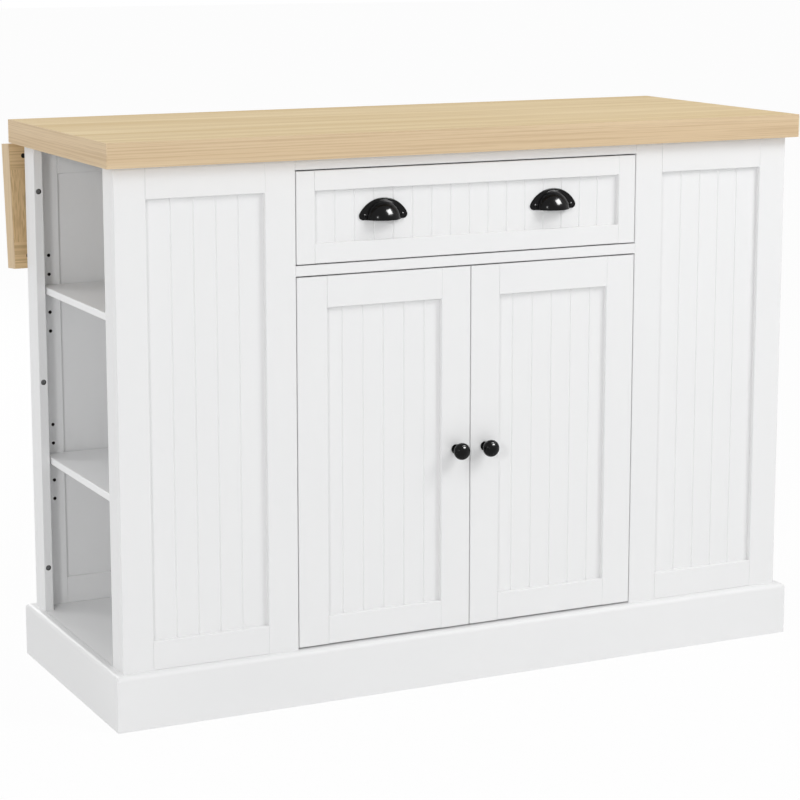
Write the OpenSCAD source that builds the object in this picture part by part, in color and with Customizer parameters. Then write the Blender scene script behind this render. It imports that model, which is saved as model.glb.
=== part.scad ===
// Drop leaf kitchen island: a painted cabinet with two open-ended shelf bays, a drawer
// over a pair of doors, a laminated oak worktop and a leaf hinged to its rear edge.
// X runs along the front, Y from front to back, Z up. Sizes are in millimetres.

/* [Overall] */
// Height of the worktop above the floor
counter_height = 915; // [860:5:960]
// Length of the worktop and of the leaf
worktop_length = 1242; // [1180:2:1400]
// Depth of the fixed worktop, front to back
worktop_depth = 491; // [460:1:600]
// How far the worktop reaches past each end of the cabinet
end_overhang = 15.5; // [15:0.5:30]
// How far the worktop reaches past the cabinet's front
front_overhang = 17; // [15:0.5:40]
// How far the worktop reaches past the cabinet's back
rear_overhang = 36; // [36:0.5:60]

/* [Worktop] */
// Thickness of the worktop and of the leaf at their edges
top_thickness = 38.5; // [34:0.5:48]
// Thickness of the sheet that makes the top face
sheet_thickness = 16; // [12:1:19]
// Width of the battens glued under the sheet
batten_width = 43; // [43:1:60]
// Thickness of the laminate band round the edges
edging_thickness = 1; // [0.6:0.2:2]

/* [Drop leaf] */
// Depth of the leaf from its hinged edge to its free edge
leaf_depth = 209; // [205:1:240]
// Gap between the worktop and the raised leaf
leaf_gap = 2; // [1.5:0.5:3]
// Angle by which the hanging leaf leans in towards the cabinet
leaf_lean = 5; // [3:0.5:5]
// Width of the cross battens that carry the stay tracks
track_batten_width = 60; // [50:2:80]

/* [Leaf hinges] */
// Distance of the inner pair of hinges from the middle
inner_hinge_x = 170; // [100:5:220]
// Distance of the outer pair of hinges from the middle
outer_hinge_x = 500; // [420:5:520]
// Length of a hinge
hinge_length = 60; // [50:2:80]
// Width of each hinge plate
hinge_plate_width = 30; // [28:1:32]
// Thickness of a hinge plate
hinge_plate = 2; // [1.6:0.2:2.4]
// Radius of the hinge knuckles
knuckle_radius = 3.5; // [3.2:0.1:4]
// Radius of the hinge pins
hinge_pin_radius = 1.5; // [1.2:0.1:1.8]
// Radius of a hinge screw's shank
screw_radius = 1.9; // [1.6:0.1:2.1]
// Length of a hinge screw
screw_length = 15; // [12:1:18]

/* [Leaf stays] */
// Distance of each stay outwards from the middle of a divider
stay_offset = 13.5; // [6:0.5:26]
// Height of the stay's pivot below the leaf hinge
stay_drop = 60; // [55:1:75]
// Distance of the stay's pivot from the cabinet's back
stay_standoff = 12.5; // [11:0.5:13]
// Distance of the stay's stud from the hinge with the leaf raised
stay_reach = 80; // [75:1:90]
// Width of the stay bar
stay_width = 10; // [8:0.5:10]
// Thickness of the stay bar
stay_thickness = 4; // [3:0.5:5]
// Distance of the slot's middle line from the leaf's underside
slot_offset = 7; // [6.5:0.5:7.5]
// Depth of the track's web
track_depth = 13; // [12:0.5:14]
// Thickness of the track's web
track_web = 3; // [2:0.5:4]
// Radius of the stay's pivot pin
stay_pin_radius = 3; // [2.5:0.5:3.5]

/* [Plinth] */
// Height of the plinth
plinth_height = 89; // [75:1:120]
// Thickness of a plinth board
plinth_thickness = 15; // [12:1:15]
// Radius of the plinth's upper outer edge
plinth_round = 8; // [4:0.5:10]
// Joint between the plinth's end boards and its long boards
plinth_joint = 0.3; // [0.1:0.1:0.6]

/* [Carcass] */
// Width of the opening that holds the drawer and the doors
opening_width = 617; // [560:1:660]
// Thickness of the stiles and rails of every framed panel
frame_thickness = 16; // [15:0.5:20]
// Width of the stiles beside the shelf bays
stile_width = 51; // [50:1:60]
// Height of the top rails
rail_top = 50; // [44:1:60]
// Height of the bottom rails
rail_bottom = 46; // [40:1:60]
// Thickness of the dividers between the bays
divider_thickness = 16; // [15:1:18]
// Thickness of the floor panel
floor_thickness = 15; // [12:1:18]
// Gap between the floor panel and each plinth end board
floor_slack = 0.8; // [0.3:0.1:0.9]
// Thickness of the boards under the floor panel
base_thickness = 16; // [12:1:20]
// Height of the rail above the drawer
top_rail_height = 17; // [14:0.5:30]
// Height of the rail between the drawer and the doors
mid_rail_height = 16.5; // [14:0.5:24]
// Depth of those two rails, front to back
face_rail_depth = 18; // [16:1:19]
// Arris taken off the long edges of the boards
arris = 0.8; // [0.4:0.1:1.2]

/* [Bead board] */
// Thickness of a bead board panel
panel_thickness = 3.2; // [3:0.1:6.5]
// Depth of a panel's face behind its frame
panel_recess = 8; // [6:0.5:8.5]
// Depth of the groove that holds a panel
tongue = 6; // [4:0.5:8]
// Slack between a panel's edge and the bottom of its groove
panel_slip = 0.5; // [0.3:0.1:1]
// Width of a bead groove
bead_width = 3; // [2.4:0.2:5]
// Depth of a bead groove
bead_depth = 1.4; // [0.6:0.1:1.8]
// Spacing of the grooves in the bay panels and the back panels
bay_pitch = 37; // [30:0.5:40]
// Grooves in a bay panel
bay_beads = 4; // [2:1:5]
// Grooves in a back panel
back_beads = 5; // [3:1:5]
// Spacing of the grooves in the doors
door_pitch = 36.3; // [30:0.1:40]
// Grooves in a door panel
door_beads = 5; // [3:1:5]
// Spacing of the grooves in the drawer front
drawer_pitch = 34; // [28:0.5:34]
// Grooves in the drawer panel
drawer_beads = 15; // [9:1:16]

/* [Shelf bays] */
// Width of an end batten along X
end_batten_thickness = 15; // [13:1:18]
// Depth of an end batten along Y
end_batten_depth = 32; // [28:1:40]
// Thickness of a bay shelf
shelf_thickness = 12; // [12:1:18]
// Slack round a shelf
shelf_slack = 1; // [0.5:0.1:2]
// Gap between an end batten and a shelf
shelf_setback = 2.5; // [1:0.5:10]
// Spacing of the shelf pin holes
pin_pitch = 32; // [25:1:32]
// Holes in one group
pin_holes = 5; // [3:2:5]
// Distance between the two groups
pin_group_gap = 288; // [256:32:320]
// Distance of the outer row of holes from the cabinet's end
pin_inset = 32; // [28:1:40]
// Distance of the inner row of holes from the divider
pin_inner_inset = 18; // [12:1:22]
// Radius of a shelf pin hole
pin_hole_radius = 2.75; // [2.5:0.25:3]
// Radial slack of a shelf pin in its hole
pin_slack = 0.05; // [0.02:0.01:0.1]
// Depth of a shelf pin hole
pin_hole_depth = 13; // [11:0.5:13]
// Depth to which a shelf pin is pushed in
pin_depth = 10; // [8:0.5:10]
// How far a shelf pin stands out
pin_reach = 9; // [7:0.5:12]
// Distance from the middle bolt of an end batten to the outer ones
batten_bolt_gap = 319; // [280:1:330]
// Radius of a batten bolt's head
bolt_head_radius = 3.6; // [3.4:0.1:4.2]
// Radius of a batten bolt's shank
bolt_radius = 2; // [1.5:0.25:2.5]

/* [Doors] */
// Gap above and below the drawer front and above the doors
front_gap = 2.2; // [1.8:0.1:3]
// Gap beside the doors and the drawer front
side_gap = 1.6; // [1.4:0.1:3]
// Gap between the two doors
meeting_gap = 1.6; // [1.4:0.1:4]
// Gap under the doors
door_foot_gap = 3; // [2:0.5:6]
// Width of a door's stiles
door_stile = 52; // [48:1:60]
// Distance of each hinge from the door's end
cup_end_distance = 90; // [70:5:120]
// Radius of a hinge cup
cup_radius = 17.5; // [17:0.5:17.5]
// Depth of a hinge cup in the door
cup_depth = 11.5; // [10:0.5:12]
// Distance of a cup's centre from the door's edge
cup_inset = 21; // [20:0.5:23]
// Height of the cabinet shelf above the cabinet floor
cabinet_shelf_rise = 300; // [240:4:360]
// Thickness of the cabinet shelf
cabinet_shelf_thickness = 15; // [12:1:18]
// Distance of the cabinet shelf behind the front frames
cabinet_shelf_setback = 90; // [85:1:120]

/* [Drawer] */
// Height of the opening that holds the drawer front
drawer_opening = 150; // [146:1:180]
// Width of the drawer front's stiles and rails
drawer_frame = 31.5; // [28:0.5:36]
// Thickness of the drawer's sides, front and back
drawer_wall = 12; // [10:1:15]
// Height of the drawer box
drawer_box_height = 108; // [90:1:112]
// Length of the drawer box
drawer_length = 360; // [340:5:380]
// Thickness of the drawer's bottom
drawer_bottom_thickness = 4; // [3:0.5:6]
// Space for a runner on each side of the drawer
runner_space = 12.5; // [12:0.1:13.5]
// Length of a runner
runner_length = 350; // [320:5:360]
// Height of the channel of a runner
runner_height = 25; // [24.5:0.5:27]
// Thickness of the runner's steel
runner_steel = 1.2; // [1:0.1:1.5]
// Height of the drawer's underside above the middle rail
drawer_lift = 12.5; // [12:0.5:14]

/* [Handles] */
// Distance of each cup pull from the middle
pull_x = 154; // [100:1:200]
// Height of the pull's straight lower edge above the drawer panel's lower edge
pull_rise = 31.3; // [20:0.1:40]
// Radius of the arched back plate
pull_plate_radius = 47.5; // [46:0.1:50]
// Height of the arched back plate
pull_plate_height = 34.5; // [33:0.1:38]
// Radius of the back plate's lower corners
pull_corner_radius = 7; // [6:0.5:8]
// Thickness of the back plate
pull_plate = 2.2; // [1.8:0.1:3]
// Radius of the dome where it meets the plate
pull_dome_radius = 30.3; // [28:0.1:30.5]
// How far the dome stands out
pull_dome_reach = 22; // [18:0.5:26]
// Wall of the dome
pull_wall = 1.8; // [1.4:0.1:2.4]
// Distance between a pull's screws
pull_screw_gap = 67; // [66:0.5:68]
// Radius of a knob's head
knob_radius = 14; // [11:0.5:16]
// Radius of a knob's foot
knob_foot_radius = 8.2; // [7:0.1:10]
// How far a knob stands out
knob_reach = 33; // [32:0.5:36]

/* [Hidden] */
$fn = 48;

white = "whitesmoke";
oak = "burlywood";
black = "black";
steel = "silver";
zinc = "lightgray";

// Small amount by which a cut runs past the face that it opens
past = 1;
// Small face to face clearance between parts that move past each other
running_gap = 0.3;

// Heights
under_z = counter_height - top_thickness;
floor_z = plinth_height;
inner_height = under_z - floor_z;
batten_drop = top_thickness - sheet_thickness;
top_rail_z = under_z - top_rail_height;
mid_rail_top = top_rail_z - drawer_opening;
mid_rail_z = mid_rail_top - mid_rail_height;

// Plan of the cabinet, with y = 0 at the worktop's front edge
body_half = worktop_length / 2 - end_overhang;
body_front = front_overhang;
body_back = worktop_depth - rear_overhang;
inner_front = body_front + frame_thickness;
inner_back = body_back - frame_thickness;
inner_depth = inner_back - inner_front;
opening_half = opening_width / 2;
bay_width = body_half - opening_half;
divider_outer = opening_half + divider_thickness;
divider_middle = opening_half + divider_thickness / 2;

// Leaf hinge line
hinge_y = worktop_depth + leaf_gap / 2;
hinge_rise = hinge_plate / 2;
hinge_z = under_z - hinge_rise;
hinge_turn = 90 + leaf_lean;
hinge_xs = [-outer_hinge_x, -inner_hinge_x, inner_hinge_x, outer_hinge_x];
knuckle_count = 5;
knuckle_gap = 0.4;
knuckle_relief = 0.5;
knuckle_pitch = hinge_length / knuckle_count;
pin_running = 0.05;
plate_start = knuckle_radius + knuckle_relief;
plate_lap = 0.5;
screw_head_radius = 3.6;
screw_margin = 6.5;
screw_x = hinge_length / 2 - 1.5 * screw_margin;
screw_rows = [plate_start + screw_margin, hinge_plate_width - screw_margin];
countersink = 0.9 * hinge_plate;

// The row of the bounding box, so that its middle lies over the origin
front_reach = body_front - knob_reach;
rear_reach = hinge_y + cos(leaf_lean) * (top_thickness + hinge_rise)
    - sin(leaf_lean) * leaf_gap / 2;
origin_y = (front_reach + rear_reach) / 2;

stay_x = divider_middle + stay_offset;

// Stay geometry in the plane across the hinge line, measured from the hinge line
stay_pivot = [body_back + stay_standoff - hinge_y, -stay_drop];
slot_rise = hinge_rise - slot_offset;
stay_length = norm([stay_reach, slot_rise] - stay_pivot);
leaf_run = [cos(hinge_turn), -sin(hinge_turn)];
leaf_normal = [sin(hinge_turn), cos(hinge_turn)];
slot_origin = slot_rise * leaf_normal - stay_pivot;
slot_along = leaf_run * slot_origin;
slot_end = -slot_along
    + sqrt(slot_along * slot_along - slot_origin * slot_origin + stay_length * stay_length);
stud_rest = slot_end * leaf_run + slot_origin;
stay_rest_angle = atan2(stud_rest[1], stud_rest[0]);
slot_radius = stay_pin_radius + running_gap;
track_end_margin = 8;
track_flange = 1.5;
track_flange_width = 20;
stay_gap = 0.5;

// Doors and drawer front
door_width = (opening_width - 2 * side_gap - meeting_gap) / 2;
door_z = floor_z + door_foot_gap;
door_height = mid_rail_z - front_gap - door_z;
drawer_front_z = mid_rail_top + front_gap;
drawer_front_height = drawer_opening - 2 * front_gap;
drawer_front_width = opening_width - 2 * side_gap;
cup_rows = [door_z + cup_end_distance, door_z + door_height - cup_end_distance];
drawer_z = mid_rail_top + drawer_lift;
drawer_outer_half = opening_half - runner_space;
drawer_start = inner_front;

// Shelf pins
bay_middle = floor_z + inner_height / 2;
pin_rows = [bay_middle - pin_group_gap / 2, bay_middle + pin_group_gap / 2];
pin_radius = pin_hole_radius - pin_slack;
half_holes = (pin_holes - 1) / 2;
cabinet_pin_z = floor_z + cabinet_shelf_rise;
cabinet_pin_inset = 30;
cabinet_pin_ys = [inner_front + cabinet_shelf_setback + cabinet_pin_inset,
    inner_back - cabinet_pin_inset];

// ---------- boards ----------

// Corners of a w by h rectangle with its corners taken off by a
function arris_outline(w, h, a) =
    [[a, 0], [w - a, 0], [w, a], [w, h - a], [w - a, h], [a, h], [0, h - a], [0, a]];

// A board with its long edges eased, whose length runs along the named axis
module plank(size, run, a = arris) {
    if (run == "z")
        linear_extrude(size[2]) polygon(arris_outline(size[0], size[1], a));
    if (run == "x")
        rotate([90, 0, 90]) linear_extrude(size[0]) polygon(arris_outline(size[1], size[2], a));
    if (run == "y")
        translate([0, size[1], 0]) rotate([90, 0, 0])
            linear_extrude(size[1]) polygon(arris_outline(size[0], size[2], a));
}

// Stiles and rails round one or more loose panels. The lower left front corner is at the
// origin and the show face is at y = 0. Rails end in tongues that fill the stiles' grooves.
module panel_frame(w, h, stile, top, bottom, bays = 1) {
    step = (w - stile) / bays;
    for (i = [0 : bays]) translate([i * step, 0, 0]) difference() {
        plank([stile, frame_thickness, h], "z");
        if (i < bays)
            translate([stile - tongue, panel_recess, -past])
                cube([tongue + past, panel_thickness, h + 2 * past]);
        if (i > 0)
            translate([-past, panel_recess, -past])
                cube([tongue + past, panel_thickness, h + 2 * past]);
    }
    span = step - stile;
    for (i = [0 : bays - 1]) translate([i * step + stile, 0, 0]) {
        difference() {
            union() {
                plank([span, frame_thickness, bottom], "x");
                translate([-tongue, panel_recess, 0])
                    cube([span + 2 * tongue, panel_thickness, bottom]);
            }
            translate([-tongue - past, panel_recess, bottom - tongue])
                cube([span + 2 * (tongue + past), panel_thickness, tongue + past]);
        }
        translate([0, 0, h - top]) difference() {
            union() {
                plank([span, frame_thickness, top], "x");
                translate([-tongue, panel_recess, 0])
                    cube([span + 2 * tongue, panel_thickness, top]);
            }
            translate([-tongue - past, panel_recess, -past])
                cube([span + 2 * (tongue + past), panel_thickness, tongue + past]);
        }
    }
}

// Bead board for an opening of w by h whose lower left corner is at the origin
module bead_panel(w, h, pitch, count) {
    reach = tongue - panel_slip;
    difference() {
        translate([-reach, panel_recess, -reach])
            cube([w + 2 * reach, panel_thickness, h + 2 * reach]);
        for (i = [0 : count - 1])
            translate([w / 2 + (i - (count - 1) / 2) * pitch, panel_recess, -reach - past])
                linear_extrude(h + 2 * (reach + past))
                    polygon([[-bead_width / 2, -past], [bead_width / 2, -past],
                        [bead_width / 2, 0], [0, bead_depth], [-bead_width / 2, 0]]);
    }
}

// Puts children on the cabinet's frame, whose y = 0 is the worktop's front edge
module placed() {
    translate([0, -origin_y, 0]) children();
}

// Draws children on the right and, mirrored, on the left
module both_sides() {
    children();
    mirror([1, 0, 0]) children();
}

// A part that faces the back in the way its twin faces the front
module facing_back() {
    translate([0, body_front + body_back, 0]) mirror([0, 1, 0]) children();
}

// ---------- worktop ----------

module top_board() color(oak) placed()
    translate([-worktop_length / 2 + edging_thickness, edging_thickness, under_z + batten_drop])
        cube([worktop_length - 2 * edging_thickness, worktop_depth - 2 * edging_thickness,
            sheet_thickness]);

// The two long battens under a sheet of length by depth
module long_battens(length, depth) {
    inner = length - 2 * edging_thickness;
    for (y = [edging_thickness, depth - edging_thickness - batten_width])
        translate([-inner / 2, y, 0]) cube([inner, batten_width, batten_drop]);
}

// Battens between the long ones: of the given width at xs, and one at each end
module cross_battens(length, depth, xs, width) {
    run = depth - 2 * (edging_thickness + batten_width);
    for (x = xs)
        translate([x - width / 2, edging_thickness + batten_width, 0])
            cube([width, run, batten_drop]);
    for (s = [-1, 1])
        translate([s * (length / 2 - edging_thickness - batten_width / 2) - batten_width / 2,
            edging_thickness + batten_width, 0])
            cube([batten_width, run, batten_drop]);
}

// Laminate strips round an edge of length by depth
module edge_bands(length, depth) {
    for (y = [0, depth - edging_thickness])
        translate([-length / 2, y, 0]) cube([length, edging_thickness, top_thickness]);
    for (x = [-length / 2, length / 2 - edging_thickness])
        translate([x, edging_thickness, 0])
            cube([edging_thickness, depth - 2 * edging_thickness, top_thickness]);
}

// Room for the hinge knuckles, round the hinge line at the origin
module knuckle_grooves() {
    for (x = hinge_xs)
        translate([x - hinge_length / 2 - knuckle_relief, 0, 0]) rotate([0, 90, 0])
            cylinder(r = knuckle_radius + knuckle_relief, h = hinge_length + 2 * knuckle_relief);
}

// Screw places of the hinges, on the side of the hinge line that dir names
module at_hinge_screws(dir) {
    for (x = hinge_xs, s = [-1, 1], row = screw_rows)
        translate([x + s * screw_x, dir * row, -hinge_rise]) children();
}

module screw_holes(dir) {
    at_hinge_screws(dir) cylinder(r = screw_radius, h = screw_length);
}

module top_battens() color(oak) placed() translate([0, 0, under_z])
    cross_battens(worktop_length, worktop_depth, [-divider_middle, divider_middle], batten_width);

module top_rails() color(oak) placed() difference() {
    translate([0, 0, under_z]) long_battens(worktop_length, worktop_depth);
    translate([0, hinge_y, hinge_z]) {
        knuckle_grooves();
        screw_holes(-1);
    }
}

module top_edging() color(oak) placed() difference() {
    translate([0, 0, under_z]) edge_bands(worktop_length, worktop_depth);
    translate([0, hinge_y, hinge_z]) knuckle_grooves();
}

// ---------- bay panels ----------

// Frame of a right bay panel that shows to the front, with its shelf pin and bolt holes
module bay_frame() translate([opening_half, body_front, floor_z]) difference() {
    panel_frame(bay_width, inner_height, stile_width, rail_top, rail_bottom);
    for (x = [bay_width - pin_inset, divider_thickness + pin_inner_inset], row = pin_rows,
        k = [-half_holes : half_holes])
        translate([x, frame_thickness - pin_hole_depth, row + k * pin_pitch - floor_z])
            rotate([-90, 0, 0]) cylinder(r = pin_hole_radius, h = pin_hole_depth + past);
    for (z = batten_bolt_rows)
        translate([bay_width - end_batten_thickness / 2, frame_thickness - bolt_bite, z - floor_z])
            rotate([-90, 0, 0]) cylinder(r = bolt_radius, h = bolt_bite + past);
}

module bay_panel() translate([opening_half + stile_width, body_front, floor_z + rail_bottom])
    bead_panel(bay_width - 2 * stile_width, inner_height - rail_top - rail_bottom, bay_pitch,
        bay_beads);

module right_front_frame() color(white) placed() bay_frame();
module left_front_frame() color(white) placed() mirror([1, 0, 0]) bay_frame();
module right_rear_frame() color(white) placed() facing_back() bay_frame();
module left_rear_frame() color(white) placed() facing_back() mirror([1, 0, 0]) bay_frame();
module right_front_panel() color(white) placed() bay_panel();
module left_front_panel() color(white) placed() mirror([1, 0, 0]) bay_panel();
module right_rear_panel() color(white) placed() facing_back() bay_panel();
module left_rear_panel() color(white) placed() facing_back() mirror([1, 0, 0]) bay_panel();

// Finished back of the middle bay: one frame with two bead boards
back_bays = 2;
back_step = (opening_width - stile_width) / back_bays;

module back_frame() color(white) placed() facing_back()
    translate([-opening_half, body_front, floor_z])
        panel_frame(opening_width, inner_height, stile_width, rail_top, rail_bottom, back_bays);

module back_panels() color(white) placed() facing_back()
    for (i = [0 : back_bays - 1])
        translate([-opening_half + i * back_step + stile_width, body_front, floor_z + rail_bottom])
            bead_panel(back_step - stile_width, inner_height - rail_top - rail_bottom, bay_pitch,
                back_beads);

// ---------- shelf bays ----------

batten_bolt_rows = [bay_middle - batten_bolt_gap, bay_middle, bay_middle + batten_bolt_gap];
bolt_bite = 8;
bolt_head_height = 3;
bolt_sink = 2;
bolt_head_slack = 1;
bolt_socket_radius = 2;
bolt_socket_depth = 2;
bolt_grip = end_batten_depth - bolt_sink;

// Places of a right front batten's bolts, at the top of each head, heads towards +y
module at_front_bolts() {
    for (z = batten_bolt_rows)
        translate([body_half - end_batten_thickness / 2, inner_front + bolt_grip, z])
            rotate([-90, 0, 0]) children();
}

module end_batten() difference() {
    translate([body_half - end_batten_thickness, inner_front, floor_z])
        plank([end_batten_thickness, end_batten_depth, inner_height], "z");
    at_front_bolts() {
        translate([0, 0, -bolt_grip - past])
            cylinder(r = bolt_radius, h = bolt_grip + past);
        translate([0, 0, -bolt_head_height])
            cylinder(r = bolt_head_radius + bolt_head_slack,
                h = bolt_head_height + bolt_sink + past);
    }
}

module end_battens() color(white) placed() both_sides() {
    end_batten();
    facing_back() end_batten();
}

// Socket head bolt whose head ends at z = 0
module batten_bolt() difference() {
    union() {
        translate([0, 0, -bolt_head_height]) cylinder(r = bolt_head_radius, h = bolt_head_height);
        translate([0, 0, -bolt_grip - bolt_bite])
            cylinder(r = bolt_radius, h = bolt_grip + bolt_bite);
    }
    translate([0, 0, -bolt_socket_depth])
        cylinder(r = bolt_socket_radius, h = bolt_socket_depth + past, $fn = 6);
}

module batten_bolts() color(steel) placed() both_sides() {
    at_front_bolts() batten_bolt();
    facing_back() at_front_bolts() batten_bolt();
}

module divider() difference() {
    translate([opening_half, inner_front, floor_z])
        cube([divider_thickness, inner_depth, inner_height]);
    for (y = cabinet_pin_ys, k = [-1 : 1])
        translate([opening_half - past, y, cabinet_pin_z + k * pin_pitch]) rotate([0, 90, 0])
            cylinder(r = pin_hole_radius, h = pin_hole_depth + past);
}

module right_divider() color(white) placed() divider();
module left_divider() color(white) placed() mirror([1, 0, 0]) divider();

module bay_shelf_pair() {
    shelf_end = body_half - end_batten_thickness - shelf_setback;
    shelf_start = divider_outer + shelf_slack;
    for (row = pin_rows)
        translate([shelf_start, inner_front + shelf_slack, row + pin_radius])
            plank([shelf_end - shelf_start, inner_depth - 2 * shelf_slack, shelf_thickness], "y");
}

module bay_shelves() color(white) placed() both_sides() bay_shelf_pair();

module cabinet_shelf() color(white) placed()
    translate([-opening_half + shelf_slack, inner_front + cabinet_shelf_setback,
        cabinet_pin_z + pin_radius])
        plank([opening_width - 2 * shelf_slack, inner_depth - cabinet_shelf_setback - shelf_slack,
            cabinet_shelf_thickness], "x");

// Straight pin along +z that stands in its hole
module shelf_pin() translate([0, 0, -pin_depth])
    cylinder(r = pin_radius, h = pin_depth + pin_reach);

module shelf_pins() color(steel) placed() both_sides() {
    for (x = [body_half - pin_inset, divider_outer + pin_inner_inset], z = pin_rows) {
        translate([x, inner_front, z]) rotate([-90, 0, 0]) shelf_pin();
        translate([x, inner_back, z]) rotate([90, 0, 0]) shelf_pin();
    }
    for (y = cabinet_pin_ys)
        translate([opening_half, y, cabinet_pin_z]) rotate([0, -90, 0]) shelf_pin();
}

// ---------- floor, base and plinth ----------

module floor_panel() color(white) placed()
    translate([-body_half + floor_slack, body_front, floor_z - floor_thickness])
        cube([2 * (body_half - floor_slack), body_back - body_front, floor_thickness]);

module base_rails() color(white) placed() {
    for (y = [body_front, body_back - base_thickness])
        translate([-body_half, y, 0])
            cube([2 * body_half, base_thickness, floor_z - floor_thickness]);
}

module base_bearers() color(white) placed() both_sides()
    for (x = [divider_middle - base_thickness / 2, body_half - base_thickness])
        translate([x, body_front + base_thickness, 0])
            cube([base_thickness, body_back - body_front - 2 * base_thickness,
                floor_z - floor_thickness]);

// Section of the whole plinth, w wide, with its upper corners rounded
module plinth_section(w) {
    square([w, plinth_height - plinth_round]);
    translate([plinth_round, 0]) square([w - 2 * plinth_round, plinth_height]);
    for (x = [plinth_round, w - plinth_round])
        translate([x, plinth_height - plinth_round]) circle(plinth_round);
}

plinth_half = body_half + plinth_thickness;
plinth_depth = body_back - body_front + 2 * plinth_thickness;

// Rounding along the front and back
module plinth_long() translate([-plinth_half, body_front - plinth_thickness, 0])
    rotate([90, 0, 90]) linear_extrude(2 * plinth_half) plinth_section(plinth_depth);

// Rounding along the two ends
module plinth_wide() translate([-plinth_half, body_back + plinth_thickness, 0])
    rotate([90, 0, 0]) linear_extrude(plinth_depth) plinth_section(2 * plinth_half);

// The front board, which runs past the side boards and returns their profile
module plinth_cross_board() intersection() {
    plinth_long();
    plinth_wide();
    translate([-plinth_half - past, body_front - plinth_thickness - past, -past])
        cube([2 * (plinth_half + past), plinth_thickness + past, plinth_height + 2 * past]);
}

module plinth_side_board() intersection() {
    plinth_wide();
    translate([body_half, body_front + plinth_joint, -past])
        cube([plinth_thickness + past, body_back - body_front - 2 * plinth_joint,
            plinth_height + 2 * past]);
}

module plinth_front() color(white) placed() plinth_cross_board();
module plinth_rear() color(white) placed() facing_back() plinth_cross_board();
module plinth_right() color(white) placed() plinth_side_board();
module plinth_left() color(white) placed() mirror([1, 0, 0]) plinth_side_board();

// ---------- face rails ----------

module face_rail(z, h) translate([-opening_half, body_front, z])
    plank([opening_width, face_rail_depth, h], "x");

module top_rail() color(white) placed() face_rail(top_rail_z, top_rail_height);
module mid_rail() color(white) placed() face_rail(mid_rail_z, mid_rail_height);

// ---------- drawer ----------

module drawer_front_frame() color(white) placed()
    translate([-drawer_front_width / 2, body_front, drawer_front_z])
        panel_frame(drawer_front_width, drawer_front_height, drawer_frame, drawer_frame, drawer_frame);

module drawer_front_panel() color(white) placed()
    translate([-drawer_front_width / 2 + drawer_frame, body_front, drawer_front_z + drawer_frame])
        bead_panel(drawer_front_width - 2 * drawer_frame, drawer_front_height - 2 * drawer_frame,
            drawer_pitch, drawer_beads);

bottom_groove_rise = 8;
bottom_groove = 5;
inner_drawer_half = drawer_outer_half - drawer_wall;

// Sides, inner front and back, grooved for the bottom
module drawer_box() color(white) placed() difference() {
    translate([0, drawer_start, drawer_z]) {
        for (s = [-1, 1])
            translate([s * (drawer_outer_half - drawer_wall / 2) - drawer_wall / 2, 0, 0])
                plank([drawer_wall, drawer_length, drawer_box_height], "y");
        for (y = [0, drawer_length - drawer_wall])
            translate([-inner_drawer_half, y, 0])
                plank([2 * inner_drawer_half, drawer_wall, drawer_box_height], "x");
    }
    translate([-inner_drawer_half - bottom_groove, drawer_start + drawer_wall - bottom_groove,
        drawer_z + bottom_groove_rise])
        cube([2 * (inner_drawer_half + bottom_groove),
            drawer_length - 2 * (drawer_wall - bottom_groove), drawer_bottom_thickness]);
}

module drawer_bottom() color(white) placed()
    translate([-inner_drawer_half - bottom_groove, drawer_start + drawer_wall - bottom_groove,
        drawer_z + bottom_groove_rise])
        cube([2 * (inner_drawer_half + bottom_groove),
            drawer_length - 2 * (drawer_wall - bottom_groove), drawer_bottom_thickness]);

// Roller runners: a channel on the divider with a roller at its front, and an angle under
// the drawer's side with a roller at its rear that runs between the channel's flanges.
runner_setback = 5;
runner_start = inner_front + runner_setback;
flange_width = 9;
roller_width = 6.4;
roller_side_gap = 0.9;
track_rise = 0.3;
front_roller_inset = 12;
rear_roller_inset = 14;
slide_height = 36;
runner_z = drawer_z - runner_steel - runner_height / 2;
front_roller_radius = (runner_height / 2 - runner_steel - track_rise) / 2;
front_roller_z = runner_z + runner_height / 2 - track_rise - front_roller_radius;
rear_roller_radius = runner_height / 2 - runner_steel - track_rise;

module runner_roller(x, y, z, r) translate([x, y, z]) rotate([0, 90, 0])
    cylinder(r = r, h = roller_width);

module drawer_runners() color(steel) placed() both_sides() {
    difference() {
        translate([opening_half - flange_width, runner_start, runner_z])
            cube([flange_width, runner_length, runner_height]);
        translate([opening_half - flange_width - past, runner_start - past, runner_z + runner_steel])
            cube([flange_width + past - runner_steel, runner_length + 2 * past,
                runner_height - 2 * runner_steel]);
    }
    runner_roller(opening_half - runner_steel - roller_width, runner_start + front_roller_inset,
        front_roller_z, front_roller_radius);
}

module drawer_slides() color(steel) placed() both_sides() {
    slide_length = runner_length - rear_roller_inset - rear_roller_radius - running_gap;
    track_width = runner_space - runner_steel - roller_side_gap;
    translate([drawer_outer_half, runner_start, drawer_z - runner_steel])
        cube([runner_steel, runner_length, slide_height]);
    translate([drawer_outer_half - drawer_wall, runner_start, drawer_z - runner_steel])
        cube([drawer_wall + runner_steel, runner_length, runner_steel]);
    translate([drawer_outer_half, runner_start, drawer_z - runner_steel])
        cube([track_width, slide_length, runner_steel]);
    translate([drawer_outer_half + runner_steel, runner_start + runner_length - rear_roller_inset,
        runner_z + runner_height / 2]) rotate([0, 90, 0])
        cylinder(r = rear_roller_radius, h = roller_width);
}

// ---------- handles ----------

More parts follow.
